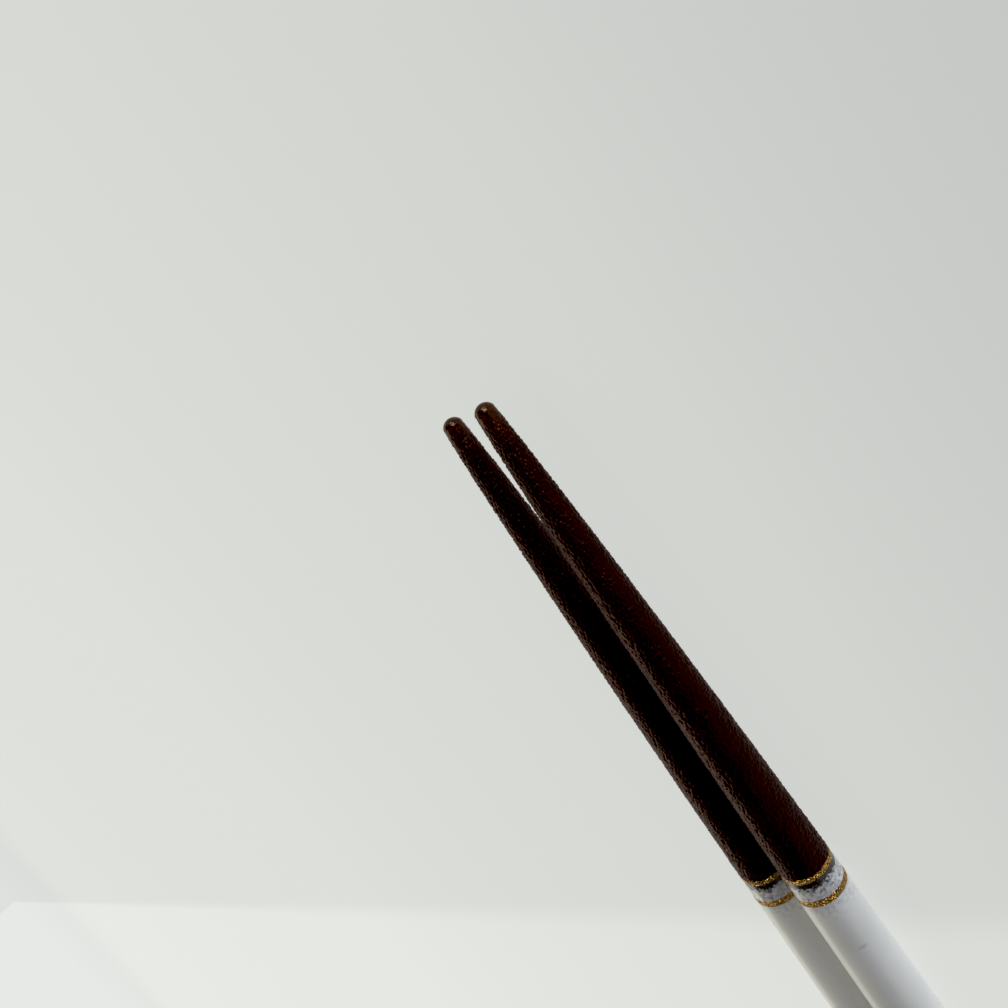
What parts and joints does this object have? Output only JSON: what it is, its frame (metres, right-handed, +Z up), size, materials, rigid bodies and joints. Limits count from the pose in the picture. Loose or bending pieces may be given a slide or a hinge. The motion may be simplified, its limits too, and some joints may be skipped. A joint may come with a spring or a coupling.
{
  "type": "chopsticks",
  "caption": "Pair of round tapered lacquered wooden chopsticks with textured brown tips, gold rings, a shell band and white handles, lying side by side.",
  "frame": {"origin": "middle of the pair's footprint, on the table it lies on", "axes": "+X along the sticks towards their tips, +Y from the moving stick to the fixed stick, +Z up from the table"},
  "size_m": [0.225, 0.0184, 0.0085],
  "materials": {
    "wood": "sealed hardwood",
    "brown_lacquer": "dark brown lacquer, fine non-slip texture",
    "gold": "sprinkled gold powder",
    "dark_lacquer": "dark brown lacquer",
    "shell": "pale shell flakes in clear lacquer",
    "white_lacquer": "satin white lacquer"
  },
  "bodies": {
    "fixed_stick": {"fixed_wood_core": "wood", "fixed_tip_coat": "brown_lacquer", "fixed_tip_ring": "gold", "fixed_dark_band": "dark_lacquer", "fixed_shell_band": "shell", "fixed_handle_ring": "gold", "fixed_handle_coat": "white_lacquer"},
    "moving_stick": {"moving_wood_core": "wood", "moving_tip_coat": "brown_lacquer", "moving_tip_ring": "gold", "moving_dark_band": "dark_lacquer", "moving_shell_band": "shell", "moving_handle_ring": "gold", "moving_handle_coat": "white_lacquer"}
  },
  "joints": [
    {"name": "tips_open", "type": "hinge", "parent": "fixed_stick", "child": "moving_stick", "pos_m": [-0.10849, -0.00497, 0.00424], "axis": [0, 0, -1], "range_deg": [0, 13]}
  ]
}
